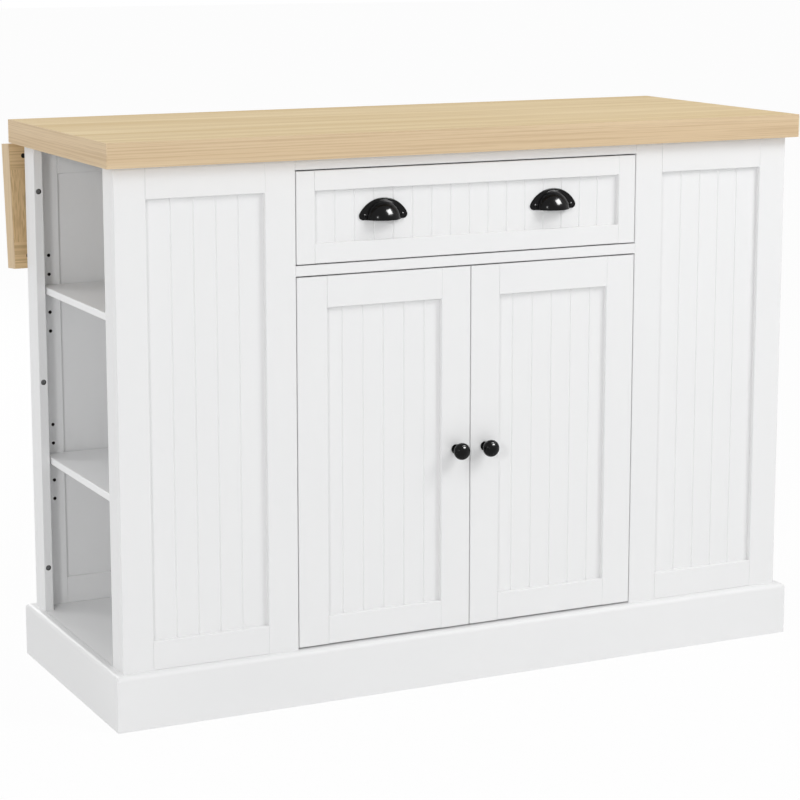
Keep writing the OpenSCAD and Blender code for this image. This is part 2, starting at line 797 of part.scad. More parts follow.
// Centre of a back plate corner, inside the big arch that it touches
corner_gap = pull_plate_radius - pull_corner_radius;
arch_centre = pull_plate_height - pull_plate_radius;
corner_x = sqrt(corner_gap * corner_gap - pow(pull_corner_radius - arch_centre, 2));
arch_start = arch_centre
    + pull_plate_radius * (pull_corner_radius - arch_centre) / corner_gap;
dome_sphere = (pull_dome_radius * pull_dome_radius + pull_dome_reach * pull_dome_reach)
    / (2 * pull_dome_reach);
dome_centre = pull_plate + pull_dome_reach - dome_sphere;
bead_radius = 0.9;
pull_screw_radius = 2.6;
pull_screw_height = 1.6;
pull_screw_crown = 4.6;

// Arched outline: one big arc on two rounded corners and a straight lower edge
module pull_outline() {
    for (x = [-corner_x, corner_x]) translate([x, pull_corner_radius]) circle(pull_corner_radius);
    translate([-corner_x, 0]) square([2 * corner_x, arch_start]);
    intersection() {
        translate([0, arch_centre]) circle(pull_plate_radius, $fn = 96);
        translate([-pull_plate_radius, arch_start])
            square([2 * pull_plate_radius, pull_plate_height]);
    }
}

// Cup pull: a hollow quarter dome on an arched plate, open below. X along the plate, Y up it.
module cup_pull() {
    difference() {
        union() {
            linear_extrude(pull_plate) pull_outline();
            intersection() {
                translate([0, 0, dome_centre]) sphere(dome_sphere, $fn = 96);
                translate([-pull_dome_radius - past, 0, 0])
                    cube([2 * (pull_dome_radius + past), pull_dome_radius + past,
                        pull_plate + pull_dome_reach + past]);
            }
            intersection() {
                translate([0, 0, pull_plate]) rotate_extrude($fn = 96)
                    translate([pull_dome_radius, 0]) circle(bead_radius, $fn = 24);
                translate([-pull_plate_radius, 0, 0])
                    cube([2 * pull_plate_radius, pull_plate_radius, pull_plate_radius]);
            }
        }
        intersection() {
            translate([0, 0, dome_centre]) sphere(dome_sphere - pull_wall, $fn = 96);
            translate([-pull_dome_radius - past, -past, pull_plate])
                cube([2 * (pull_dome_radius + past), pull_dome_radius + 2 * past,
                    pull_dome_reach + past]);
        }
    }
    for (x = [-pull_screw_gap / 2, pull_screw_gap / 2])
        translate([x, pull_corner_radius, pull_plate])
            intersection() {
                cylinder(r = pull_screw_radius, h = pull_screw_height);
                translate([0, 0, pull_screw_height - pull_screw_crown]) sphere(pull_screw_crown);
            }
}

module pull_at(x) translate([x, body_front + panel_recess, drawer_front_z + drawer_frame + pull_rise])
    rotate([90, 0, 0]) cup_pull();

module right_pull() color(black) placed() pull_at(pull_x);
module left_pull() color(black) placed() pull_at(-pull_x);

knob_foot = 2.4;
knob_neck_radius = 5;
knob_neck_spread = 1;
knob_rim = 9;
knob_crown = 18;
knob_ring_cut = 0.5;
rim_offset = knob_radius - knob_rim;
crown_z = knob_reach - knob_crown;
rim_z = crown_z + sqrt(pow(knob_crown - knob_rim, 2) - rim_offset * rim_offset);
crown_edge = knob_crown * rim_offset / (knob_crown - knob_rim);
crown_edge_z = crown_z + sqrt(knob_crown * knob_crown - crown_edge * crown_edge);

// Turned knob along +z: rounded foot, waisted neck, and a ball-like head. The wide arc of
// its crown runs into the arc of its rim at a fine turned ring.
module knob() rotate_extrude($fn = 64) difference() {
    intersection() {
        square([knob_radius, knob_reach]);
        union() {
            square([knob_foot_radius - knob_foot / 2, knob_foot]);
            translate([knob_foot_radius - knob_foot / 2, knob_foot / 2])
                circle(knob_foot / 2, $fn = 24);
            polygon([[0, 0], [knob_neck_radius + knob_neck_spread, 0],
                [knob_neck_radius, rim_z / 3], [knob_neck_radius, rim_z], [0, rim_z]]);
            translate([rim_offset, rim_z]) circle(knob_rim);
            intersection() {
                translate([0, crown_z]) circle(knob_crown, $fn = 96);
                translate([0, rim_z]) square([crown_edge, knob_reach]);
            }
        }
    }
    translate([crown_edge, crown_edge_z]) circle(knob_ring_cut, $fn = 24);
}

module right_knob() color(black) placed()
    translate([meeting_gap / 2 + door_stile / 2, body_front, door_z + door_height / 2])
        rotate([90, 0, 0]) knob();
module left_knob() color(black) placed()
    translate([-meeting_gap / 2 - door_stile / 2, body_front, door_z + door_height / 2])
        rotate([90, 0, 0]) knob();

// ---------- doors ----------

// Right door, hinged at its right edge, with round pockets for the hinge cups
module door_frame() difference() {
    translate([meeting_gap / 2, body_front, door_z])
        panel_frame(door_width, door_height, door_stile, rail_top, rail_bottom);
    at_cups() translate([0, 0, -cup_depth]) cylinder(r = cup_radius, h = cup_depth + past);
}

module door_panel() translate([meeting_gap / 2 + door_stile, body_front, door_z + rail_bottom])
    bead_panel(door_width - 2 * door_stile, door_height - rail_top - rail_bottom, door_pitch,
        door_beads);

// Cup centres on the door's back face, with +z towards the back
module at_cups() {
    for (z = cup_rows)
        translate([opening_half - side_gap - cup_inset, inner_front, z]) rotate([-90, 0, 0])
            children();
}

cup_slack = 0.1;
cup_wall = 1;
cup_flange = 1.2;
cup_rim = 1.5;
cup_flange_length = 50;
cup_flange_width = 14;
cup_flange_offset = -11;
link_width = 9;
link_thickness = 3;
link_sink = 1;
link_offset = 5;
arm_standoff = 6;

// Pressed cup with its flange and the short link that stands in it
module door_cup() {
    difference() {
        union() {
            translate([0, 0, -cup_depth]) cylinder(r = cup_radius - cup_slack, h = cup_depth);
            cylinder(r = cup_radius + cup_rim, h = cup_flange);
            translate([cup_flange_offset, -cup_flange_length / 2, 0])
                cube([cup_flange_width, cup_flange_length, cup_flange]);
        }
        translate([0, 0, -cup_depth + cup_wall])
            cylinder(r = cup_radius - cup_slack - cup_wall, h = cup_depth + cup_flange);
    }
    translate([-cup_radius + cup_slack + cup_wall / 2, -link_width / 2, -link_thickness - link_sink])
        cube([2 * (cup_radius - cup_slack) - cup_wall, link_width, link_thickness]);
    translate([link_offset, -link_width / 2, -link_thickness - link_sink])
        cube([link_thickness, link_width, link_sink + link_thickness + arm_standoff - running_gap]);
}

// Mounting plate on the divider and the arm that reaches for the cup
arm_width = 14;
arm_thickness = 4;
plate_length = 48;
plate_width = 18;
mount_plate = 3;
plate_setback = 32;
arm_end_margin = 8;

module hinge_arm() {
    reach = opening_half - side_gap - cup_inset + link_thickness;
    arm_start = inner_front + arm_standoff;
    plate_y = inner_front + plate_setback;
    translate([opening_half - mount_plate, plate_y, -plate_width / 2])
        cube([mount_plate, plate_length, plate_width]);
    translate([opening_half - mount_plate - arm_thickness, arm_start, -arm_width / 2])
        cube([arm_thickness, plate_y + plate_length - arm_start - arm_end_margin, arm_width]);
    translate([reach, arm_start, -arm_width / 2])
        cube([opening_half - mount_plate - reach, arm_thickness, arm_width]);
}

module door_hinge_arms() color(steel) placed() both_sides()
    for (z = cup_rows) translate([0, 0, z]) hinge_arm();

module right_door_frame() color(white) placed() door_frame();
module left_door_frame() color(white) placed() mirror([1, 0, 0]) door_frame();
module right_door_panel() color(white) placed() door_panel();
module left_door_panel() color(white) placed() mirror([1, 0, 0]) door_panel();
module right_door_cups() color(steel) placed() at_cups() door_cup();
module left_door_cups() color(steel) placed() mirror([1, 0, 0]) at_cups() door_cup();

// ---------- leaf ----------

// Puts children drawn with the leaf raised, and the hinge line at the origin, as it hangs
module hanging() placed() translate([0, hinge_y, hinge_z]) rotate([-hinge_turn, 0, 0]) children();

// The leaf's own frame: y from its hinged edge, z from its underside
module on_leaf() translate([0, leaf_gap / 2, hinge_rise]) children();

module leaf_board() color(oak) hanging() on_leaf()
    translate([-worktop_length / 2 + edging_thickness, edging_thickness, batten_drop])
        cube([worktop_length - 2 * edging_thickness, leaf_depth - 2 * edging_thickness,
            sheet_thickness]);

module leaf_rails() color(oak) hanging() difference() {
    on_leaf() long_battens(worktop_length, leaf_depth);
    knuckle_grooves();
    screw_holes(1);
    on_leaf() at_leaf_bolts() cylinder(r = leaf_bolt_radius, h = leaf_bolt_depth);
}

module leaf_battens() color(oak) hanging() on_leaf()
    cross_battens(worktop_length, leaf_depth, [-stay_x, 0, stay_x], track_batten_width);

module leaf_edging() color(oak) hanging() difference() {
    on_leaf() edge_bands(worktop_length, leaf_depth);
    knuckle_grooves();
}

// Bolts that hold the rails' ends, set in from the corners
leaf_bolt_radius = 4.2;
leaf_bolt_depth = 12;
leaf_bolt_sink = 3;
leaf_bolt_slack = 0.1;
leaf_bolt_inset = 25;
leaf_bolt_edge = 21;

module at_leaf_bolts() {
    for (s = [-1, 1], y = [leaf_bolt_edge, leaf_depth - leaf_bolt_edge])
        translate([s * (worktop_length / 2 - leaf_bolt_inset), y, 0]) children();
}

// ---------- leaf hinges ----------

// Hinge plate towards +y with the knuckles of the given numbers, hinge line at the origin
module hinge_leaf(numbers) difference() {
    union() {
        translate([-hinge_length / 2, plate_start, -hinge_rise])
            cube([hinge_length, hinge_plate_width - plate_start, hinge_plate]);
        for (i = numbers)
            translate([-hinge_length / 2 + i * knuckle_pitch + knuckle_gap / 2, 0, 0]) {
                rotate([0, 90, 0]) cylinder(r = knuckle_radius, h = knuckle_pitch - knuckle_gap);
                translate([0, 0, -hinge_rise])
                    cube([knuckle_pitch - knuckle_gap, plate_start + plate_lap, hinge_plate]);
            }
    }
    translate([-hinge_length / 2 - past, 0, 0]) rotate([0, 90, 0])
        cylinder(r = hinge_pin_radius + pin_running, h = hinge_length + 2 * past);
    for (s = [-1, 1], row = screw_rows)
        translate([s * screw_x, row, -hinge_rise]) {
            translate([0, 0, -past])
                cylinder(r = screw_radius + pin_running, h = hinge_plate + 2 * past);
            cylinder(r1 = screw_head_radius, r2 = screw_radius, h = countersink);
        }
}

module leaf_hinge_plates() color(zinc) placed() translate([0, hinge_y, hinge_z])
    for (x = hinge_xs) translate([x, 0, 0]) mirror([0, 1, 0]) hinge_leaf([0, 2, 4]);

module leaf_hinge_flaps() color(zinc) hanging()
    for (x = hinge_xs) translate([x, 0, 0]) hinge_leaf([1, 3]);

module leaf_hinge_pins() color(steel) placed() translate([0, hinge_y, hinge_z])
    for (x = hinge_xs) translate([x - hinge_length / 2, 0, 0]) rotate([0, 90, 0])
        cylinder(r = hinge_pin_radius, h = hinge_length);

// Countersunk screw whose head is flush at z = 0 and whose shank runs along +z
screw_slack = 0.1;
module hinge_screw() {
    cylinder(r1 = screw_head_radius - screw_slack, r2 = screw_radius - screw_slack,
        h = countersink);
    cylinder(r = screw_radius - screw_slack, h = screw_length - running_gap);
}

module leaf_hinge_screws() color(steel) placed() translate([0, hinge_y, hinge_z])
    at_hinge_screws(-1) hinge_screw();

module leaf_screws() color(steel) hanging() {
    at_hinge_screws(1) hinge_screw();
    on_leaf() at_leaf_bolts() difference() {
        translate([0, 0, leaf_bolt_sink])
            cylinder(r = leaf_bolt_radius - leaf_bolt_slack, h = leaf_bolt_depth - leaf_bolt_sink);
        translate([0, 0, leaf_bolt_sink - past])
            cylinder(r = bolt_socket_radius, h = bolt_socket_depth + past, $fn = 6);
    }
}

// ---------- leaf stays ----------

// Slotted angle under the leaf. The stay's stud runs from the slot's near end, with the
// leaf raised, to its far end, with the leaf hanging.
module stay_track() {
    near = stay_reach - slot_radius - track_end_margin;
    far = slot_end + slot_radius + track_end_margin;
    translate([stay_x - track_flange_width, near, hinge_rise - track_flange])
        cube([track_flange_width, far - near, track_flange]);
    difference() {
        translate([stay_x - track_web / 2, near, hinge_rise - track_depth])
            cube([track_web, far - near, track_depth]);
        for (y = [stay_reach, slot_end])
            translate([stay_x - track_web, y, slot_rise]) rotate([0, 90, 0])
                cylinder(r = slot_radius, h = 2 * track_web);
        translate([stay_x - track_web, stay_reach, slot_rise - slot_radius])
            cube([2 * track_web, slot_end - stay_reach, 2 * slot_radius]);
    }
}

module stay_tracks() color(zinc) hanging() both_sides() stay_track();

stay_start = stay_x + track_web / 2 + stay_gap;
ear_thickness = 2.5;
bracket_width = 26;
bracket_height = 56;
bracket_plate = 2.5;
rivet_head = 1.2;
rivet_rim = 1;
pin_play = 0.05;

// Stay bar: pivot eye at the origin, bar along +y, stud head at its far end
module stay_bar() {
    difference() {
        union() {
            for (y = [0, stay_length]) translate([0, y, 0]) rotate([0, 90, 0])
                cylinder(r = stay_width / 2, h = stay_thickness);
            translate([0, 0, -stay_width / 2]) cube([stay_thickness, stay_length, stay_width]);
        }
        translate([-past, 0, 0]) rotate([0, 90, 0])
            cylinder(r = stay_pin_radius + pin_play, h = stay_thickness + 2 * past);
    }
    translate([stay_thickness, stay_length, 0]) rotate([0, 90, 0])
        cylinder(r = stay_pin_radius + rivet_rim, h = rivet_head);
}

module stay_at_rest() placed() translate([stay_start, hinge_y + stay_pivot[0], hinge_z + stay_pivot[1]])
    rotate([stay_rest_angle, 0, 0]) stay_bar();

module right_stay() color(zinc) stay_at_rest();
module left_stay() color(zinc) mirror([1, 0, 0]) stay_at_rest();

// Bracket on the cabinet's back, with the ear and the pin that the stay turns on
module stay_bracket() {
    ear_x = stay_start + stay_thickness + running_gap;
    pivot_y = hinge_y + stay_pivot[0];
    pivot_z = hinge_z + stay_pivot[1];
    translate([ear_x + ear_thickness - bracket_width, body_back, pivot_z - bracket_height / 2])
        cube([bracket_width, bracket_plate, bracket_height]);
    translate([ear_x, body_back, pivot_z - stay_width])
        cube([ear_thickness, pivot_y - body_back, 2 * stay_width]);
    translate([ear_x, pivot_y, pivot_z]) rotate([0, 90, 0])
        cylinder(r = stay_width / 2 + rivet_rim, h = ear_thickness);
    translate([stay_start - running_gap, pivot_y, pivot_z]) rotate([0, 90, 0])
        cylinder(r = stay_pin_radius, h = ear_x + ear_thickness - stay_start + running_gap);
    translate([stay_start - running_gap - rivet_head, pivot_y, pivot_z]) rotate([0, 90, 0])
        cylinder(r = stay_pin_radius + rivet_rim, h = rivet_head);
}

module stay_brackets() color(zinc) placed() both_sides() stay_bracket();

top_board();
top_rails();
top_battens();
top_edging();
left_front_frame();
left_front_panel();
right_front_frame();
right_front_panel();
left_rear_frame();
left_rear_panel();
right_rear_frame();
right_rear_panel();
back_frame();
back_panels();
end_battens();
batten_bolts();
left_divider();
right_divider();
floor_panel();
base_rails();
base_bearers();
plinth_front();
plinth_rear();
plinth_left();
plinth_right();
top_rail();
mid_rail();
bay_shelves();
cabinet_shelf();
shelf_pins();
drawer_runners();
door_hinge_arms();
leaf_hinge_plates();
leaf_hinge_pins();
leaf_hinge_screws();
stay_brackets();
leaf_board();
leaf_rails();
leaf_battens();
leaf_edging();
leaf_hinge_flaps();
leaf_screws();
stay_tracks();
left_stay();
right_stay();
drawer_front_frame();
drawer_front_panel();
drawer_box();
drawer_bottom();
drawer_slides();
left_pull();
right_pull();
left_door_frame();
left_door_panel();
left_door_cups();
left_knob();
right_door_frame();
right_door_panel();
right_door_cups();
right_knob();
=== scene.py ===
"""Drop leaf kitchen island: painted bead-board cabinet, oak laminate worktop and leaf,
black cup pulls and knobs. Metres, X along the front, Y towards the leaf, Z up."""
import math

import bpy
import numpy as np
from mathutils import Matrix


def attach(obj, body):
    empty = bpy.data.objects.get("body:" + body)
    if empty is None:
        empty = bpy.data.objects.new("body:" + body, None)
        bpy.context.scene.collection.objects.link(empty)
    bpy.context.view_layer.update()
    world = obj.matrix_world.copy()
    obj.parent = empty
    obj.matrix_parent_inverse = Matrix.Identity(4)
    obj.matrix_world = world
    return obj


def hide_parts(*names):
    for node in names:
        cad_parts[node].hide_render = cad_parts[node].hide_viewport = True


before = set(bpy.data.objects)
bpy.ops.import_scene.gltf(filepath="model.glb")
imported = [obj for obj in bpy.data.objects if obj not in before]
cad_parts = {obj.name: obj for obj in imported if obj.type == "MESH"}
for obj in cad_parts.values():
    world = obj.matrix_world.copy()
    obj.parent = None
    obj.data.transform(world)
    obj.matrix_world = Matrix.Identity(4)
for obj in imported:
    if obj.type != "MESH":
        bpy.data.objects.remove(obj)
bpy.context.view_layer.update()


# ---------- Cabinet boards ----------
# Frames, battens, rails and plinth are board sprayed with a satin white lacquer. Shelves,
# dividers, floor and drawer box are faced with a slightly paler melamine, made paler still
# as painted light that lifts the shade inside the bays. Drilled holes and the battens'
# counterbores show the bare board, darkened to near black as painted shade.

class Flow:
    """One socket of a material's nodes, so that shader maths is written as arithmetic."""

    def __init__(self, finish, socket):
        self.finish = finish
        self.socket = socket

    def math(self, operation, first, second=None):
        values = {0: first} if second is None else {0: first, 1: second}
        return self.finish.node("ShaderNodeMath", {"operation": operation}, values)

    def __add__(self, other):
        return self.math("ADD", self, other)

    def __radd__(self, other):
        return self.math("ADD", other, self)

    def __sub__(self, other):
        return self.math("SUBTRACT", self, other)

    def __rsub__(self, other):
        return self.math("SUBTRACT", other, self)

    def __mul__(self, other):
        return self.math("MULTIPLY", self, other)

    def __rmul__(self, other):
        return self.math("MULTIPLY", other, self)

    def __abs__(self):
        return self.math("ABSOLUTE", self)

    def __mod__(self, other):
        return self.math("FLOORED_MODULO", self, other)

    def __lt__(self, other):
        return self.math("LESS_THAN", self, other)

    def __gt__(self, other):
        return self.math("GREATER_THAN", self, other)


class Finish:
    """A material, or a world, being mixed: node() adds any node, and surface() fills in
    the shader that a material begins with."""

    def __init__(self, name, world=None):
        self.material = world or bpy.data.materials.new(name)
        self.material.use_nodes = True
        self.tree = self.material.node_tree
        self.shader = self.tree.nodes.get("Principled BSDF")

    def put(self, socket, value):
        """Links value to a socket when it is a Flow, and sets it there when it is plain."""
        if isinstance(value, Flow):
            self.tree.links.new(value.socket, socket)
        else:
            socket.default_value = value

    def node(self, kind, settings={}, values={}, out=0):
        """Adds a node with its settings and inputs, and returns its output named out."""
        made = self.tree.nodes.new(kind)
        for name, value in settings.items():
            setattr(made, name, value)
        for name, value in values.items():
            found = [s for s in made.inputs if s.identifier == name or s.name == name]
            self.put(made.inputs[name] if isinstance(name, int) else found[0], value)
        return Flow(self, made.outputs[out])

    def place(self, scale):
        """Object coordinates in metres, stretched by scale."""
        return self.node("ShaderNodeMapping", {},
                         {"Vector": self.node("ShaderNodeTexCoord", out=3), "Scale": scale})

    def axes(self):
        """The object coordinates x, y and z as three numbers."""
        split = self.node("ShaderNodeSeparateXYZ", {},
                          {0: self.node("ShaderNodeTexCoord", out=3)})
        return [Flow(self, socket) for socket in split.socket.node.outputs]

    def noise(self, scale, size=1.0, detail=3.0, rough=0.5, distortion=0.0):
        """Noise of about size cycles a metre, along coordinates stretched by scale."""
        return self.node("ShaderNodeTexNoise", {},
                         {"Vector": self.place(scale), "Scale": size, "Detail": detail,
                          "Roughness": rough, "Distortion": distortion})

    def spread(self, value, low, high):
        """value taken from low to high onto 0 to 1, and held there."""
        return self.node("ShaderNodeMapRange", {"clamp": True},
                         {"Value": value, "From Min": low, "From Max": high})

    def mix(self, factor, first, second):
        """Colour between two colours or colour sockets, returned as a colour socket."""
        return self.node(
            "ShaderNodeMix", {"data_type": "RGBA"},
            {"Factor_Float": factor, "A_Color": first, "B_Color": second}, out=2)

    def surface(self, **values):
        """Fills in the shader's inputs, with _ for a space, and returns the material."""
        for name, value in values.items():
            self.put(self.shader.inputs[name.replace("_", " ")], value)
        return self.material

    def bump(self, height, depth):
        """Normal raised by a height of 0 to 1 that stands depth metres high."""
        return self.node("ShaderNodeBump", {}, {"Height": height, "Strength": 1.0,
                                                "Distance": depth})


def paint(node_names, material):
    """Gives CAD nodes one material in place of the plain colour that they came with."""
    for name in node_names:
        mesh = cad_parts[name].data
        mesh.materials.clear()
        mesh.materials.append(material)


def lacquer(name, shaded_holes=None, white=0.862):
    """Sprayed white: faint clouds of tone, a fine peel, and, where shaded_holes says, bare
    board darkened to near black as painted shade in the holes.
    """
    finish = Finish(name)
    peel = finish.noise((1, 1, 1), 420, 2.0)
    cloud = finish.noise((1, 1, 1), 3.5, 2.0)
    coat = finish.mix(cloud, (white - 0.012, white - 0.010, white - 0.007, 1),
                      (white + 0.010, white + 0.010, white + 0.010, 1))
    if shaded_holes is not None:
        # Bare board darkened to near black: painted shade on the walls of the holes.
        coat = finish.mix(shaded_holes(finish), coat, (0.040, 0.031, 0.024, 1))
    return finish.surface(
        Base_Color=coat, Roughness=0.36 + 0.12 * cloud, Specular_IOR_Level=0.35,
        Normal=finish.bump(peel, 0.00003))


cabinet_y = -0.02163
pin_hole = 0.0029
pin_pitch = 0.032


def nearest(height, hole, pitch):
    """Distance up or down to the nearest of the holes that repeat at pitch from hole."""
    return abs((height - (hole - pitch / 2)) % pitch - pitch / 2)


def bored(across, up, radius):
    """1 where two distances from a hole's axis put a point within radius of it."""
    return across * across + up * up < radius ** 2


def bay_holes(finish):
    """1 on the walls of the shelf pin holes, inside the frames' show faces. Each row has a
    lower and an upper group of holes, and the rows stand either side of a bay's middle."""
    bay_x, row_reach, show_faces = 0.4580, 0.1155, 0.2182
    lower, upper, group_half = 0.33875, 0.62675, 0.080
    x, y, z = finish.axes()
    across = abs(abs(abs(x) - bay_x) - row_reach)
    group = abs(abs(z - (lower + upper) / 2) - (upper - lower) / 2) < group_half
    inside = (abs(y - cabinet_y) < show_faces) * group
    return bored(across, nearest(z, lower, pin_pitch), pin_hole) * inside


def shelf_holes(finish):
    """1 on the walls of the holes for the middle shelf's pins, inside the dividers."""
    row_y, row_reach, show_faces = 0.0234, 0.1280, 0.3240
    group_z, group_half = 0.3890, 0.048
    x, y, z = finish.axes()
    across = abs(abs(y - row_y) - row_reach)
    inside = (abs(x) < show_faces) * (abs(z - group_z) < group_half)
    return bored(across, nearest(z, group_z, pin_pitch), pin_hole) * inside


def bolt_holes(finish):
    """1 on the walls of the battens' counterbores, short of the battens' show faces."""
    bolt_x, bolt_z, bolt_pitch, counterbore, show_faces = 0.5980, 0.48275, 0.319, 0.0048, 0.1712
    x, y, z = finish.axes()
    inside = abs(y - cabinet_y) > show_faces
    return bored(abs(x) - bolt_x, nearest(z, bolt_z, bolt_pitch), counterbore) * inside


white = lacquer("white satin lacquer")
# Paler than the lacquer as melamine is, and paler still as painted light that lifts the shade
# inside the bays.
melamine_white_and_painted_lift = 0.91
paint(["left_front_frame", "right_front_frame", "left_rear_frame", "right_rear_frame"],
      lacquer("white satin lacquer with painted shade in drilled holes", bay_holes))
paint(["end_battens"], lacquer("white satin lacquer with painted shade in bolt counterbores", bolt_holes))
paint(["left_divider", "right_divider"],
      lacquer("white melamine with painted shade in the dividers' holes", shelf_holes, melamine_white_and_painted_lift))
paint(["floor_panel", "base_rails", "base_bearers", "bay_shelves", "cabinet_shelf",
       "drawer_box", "drawer_bottom"], lacquer("white melamine", None, melamine_white_and_painted_lift))
paint(["back_frame", "plinth_front", "plinth_rear", "plinth_left", "plinth_right",
       "top_rail", "mid_rail", "left_door_frame", "right_door_frame",
       "drawer_front_frame"], white)


# ---------- Bead boards ----------
# Thin panels with milled bead grooves, sprayed together with their frames. The spray
# lies along the grooves, so that its texture is stretched upwards.

bead = Finish("white lacquer on bead board")
bead_peel = bead.noise((1, 1, 0.12), 500, 2.0)
bead_cloud = bead.noise((1, 1, 0.4), 4.0, 2.0)
bead.surface(
    Base_Color=bead.mix(bead_cloud, (0.850, 0.852, 0.855, 1), (0.872, 0.872, 0.872, 1)),
    Roughness=0.38 + 0.12 * bead_cloud, Specular_IOR_Level=0.35,
    Normal=bead.bump(bead_peel, 0.00003))
paint(["left_front_panel", "right_front_panel", "left_rear_panel", "right_rear_panel",
       "back_panels", "left_door_panel", "right_door_panel", "drawer_front_panel"],
      bead.material)


# ---------- Worktop and leaf ----------
# Particle board sheets on battens, faced with a light oak laminate whose grain runs
# along the counter. The edge strips are cut from the same laminate, so that each strip's
# grain follows its own length.

def grain(finish, along, bands, lines, wander):
    """Three noises, all long in the axis named along: broad bands, fine lines and short
    pores. Bands and lines are given in cycles a metre across the grain. Each noise runs
    from about 0.3 to 0.7."""
    def stretch(length, across):
        return tuple(length if axis == along else across for axis in "xyz")
    return (finish.noise(stretch(0.8, bands), 1.0, 3.0, 0.55, wander),
            finish.noise(stretch(2.5, lines), 1.0, 1.0, 0.5, wander / 2),
            finish.noise(stretch(16.0, 850.0), 1.0, 2.0, 0.6))


def oak(name, light, dark, line, along="x", ends=None, bands=22.0, lines=270.0,
        depth=0.5, half=0.6195, backing=None):
    """Laminate: light and dark bands with darker lines and short pores. Where ends names
    an axis, the grain turns to it on faces further than half from the board's middle.
    Below the height of backing, the board has the plain pale foil of its underside."""
    finish = Finish(name)
    parts = grain(finish, along, bands, lines, 0.5)
    if ends:
        turned = grain(finish, ends, bands, lines, 0.5)
        at_end = abs(finish.axes()[0]) > half
        parts = [a + (b - a) * at_end for a, b in zip(parts, turned)]
    band, stripe, pore = parts
    tone = finish.spread(band * 0.7 + stripe * 0.3, 0.40, 0.60)
    base = finish.mix(tone, (*dark, 1), (*light, 1))
    marks = finish.spread(stripe * 0.75 + pore * 0.25, 0.46, 0.62)
    colour = finish.mix(marks * depth, base, (*line, 1))
    if backing is not None:
        colour = finish.mix(finish.axes()[2] < backing, colour, (0.82, 0.82, 0.81, 1))
    return finish.surface(
        Base_Color=colour, Roughness=0.50 + 0.16 * stripe, Specular_IOR_Level=0.14,
        Normal=finish.bump(1 - marks, 0.00003))


face_tones = (0.830, 0.675, 0.420), (0.700, 0.530, 0.280), (0.560, 0.385, 0.180)
strip_tones = (0.760, 0.600, 0.400), (0.690, 0.525, 0.335), (0.500, 0.345, 0.200)
under_tones = (0.680, 0.490, 0.265), (0.570, 0.395, 0.195), (0.340, 0.215, 0.100)
paint(["top_board"],
      oak("oak laminate face", *face_tones, bands=30.0, lines=300.0, depth=0.55,
          backing=0.9135))
paint(["leaf_board"],
      oak("oak laminate face of the leaf", *face_tones, bands=30.0, lines=300.0,
          depth=0.55))
paint(["top_edging"],
      oak("oak laminate edge strip", *strip_tones, ends="y", lines=430.0))
paint(["leaf_edging"],
      oak("oak laminate leaf strip", *strip_tones, ends="z", lines=430.0))
paint(["top_rails"], oak("oak laminate under the rails", *under_tones))
paint(["top_battens"],
      oak("oak laminate under the battens", *under_tones, along="y", depth=0.6))
paint(["leaf_rails"],
      oak("oak laminate on the leaf's rails", (0.790, 0.590, 0.345), (0.680, 0.490, 0.270),
          (0.400, 0.260, 0.125), lines=430.0, depth=0.6))
paint(["leaf_battens"],
      oak("oak laminate on the leaf's battens", (0.790, 0.590, 0.345), (0.690, 0.495, 0.270),
          (0.440, 0.290, 0.140), along="z", bands=90.0, lines=430.0, depth=0.6))


# ---------- Cup pulls ----------
# Each pull is a die casting: an arched plate held by two round-headed screws, and a
# hollow quarter dome with a fine bead round its foot, open below for the fingertips.

def skin(name, grids, material):
    """One closed mesh from grids of points, each (rows, columns, 3), whose neighbours
    are joined by two triangles. Equal points are merged, which closes seams and poles,
    and a grid whose volume comes out negative is turned so that it faces outwards."""
    points, faces, start = [], [], 0
    for grid in grids:
        rows, columns = grid.shape[:2]
        flat = grid.reshape(-1, 3)
        _, first, merged = np.unique(np.round(flat, 7), axis=0, return_index=True,
                                     return_inverse=True)
        number = merged.reshape(rows, columns)
        corner, right = number[:-1, :-1].ravel(), number[:-1, 1:].ravel()
        above, across = number[1:, :-1].ravel(), number[1:, 1:].ravel()
        triangles = np.concatenate([np.stack([corner, right, across], 1),
                                    np.stack([corner, across, above], 1)])
        whole = ((triangles[:, 0] != triangles[:, 1]) & (triangles[:, 1] != triangles[:, 2])
                 & (triangles[:, 2] != triangles[:, 0]))
        triangles = triangles[whole]
        own = flat[first]
        a, b, c = own[triangles[:, 0]], own[triangles[:, 1]], own[triangles[:, 2]]
        if np.sum(a * np.cross(b, c)) < 0:
            triangles = triangles[:, ::-1]
        points.append(own)
        faces.append(triangles + start)
        start += len(own)
    points, faces = np.concatenate(points), np.concatenate(faces)
    mesh = bpy.data.meshes.new(name)
    mesh.vertices.add(len(points))
    mesh.vertices.foreach_set("co", points.astype(np.float32).ravel())
    mesh.loops.add(3 * len(faces))
    mesh.loops.foreach_set("vertex_index", faces.astype(np.int32).ravel())
    mesh.polygons.add(len(faces))
    mesh.polygons.foreach_set("loop_start", np.arange(0, 3 * len(faces), 3, dtype=np.int32))
    mesh.update(calc_edges=True)
    mesh.validate()
    mesh.polygons.foreach_set("use_smooth", np.ones(len(mesh.polygons), bool))
    mesh.set_sharp_from_angle(angle=math.radians(50))
    mesh.materials.append(material)
    made = bpy.data.objects.new(name, mesh)
    bpy.context.collection.objects.link(made)
    return made


def arc(centre, radius, start, end, count):
    """Points at radius from centre in a plane, from one angle in degrees to another."""
    turn = np.radians(np.linspace(start, end, count))
    return np.stack([centre[0] + radius * np.cos(turn), centre[1] + radius * np.sin(turn)], 1)


def turned(profile, count=96):
    """Surface of revolution: each (radius, height) of profile is carried round +z."""
    turn = np.linspace(0, 2 * math.pi, count + 1)
    turn[-1] = 0
    r, z = profile[:, :1], profile[:, 1:]
    return np.stack([r * np.cos(turn), r * np.sin(turn), z + 0 * turn], 2)


def outward(grids, x, y, z):
    """Millimetre grids drawn with +z as the front, set on the cabinet's front in metres."""
    return [np.stack([x + grid[..., 0], y - grid[..., 2], z + grid[..., 1]], -1) * 0.001
            for grid in grids]


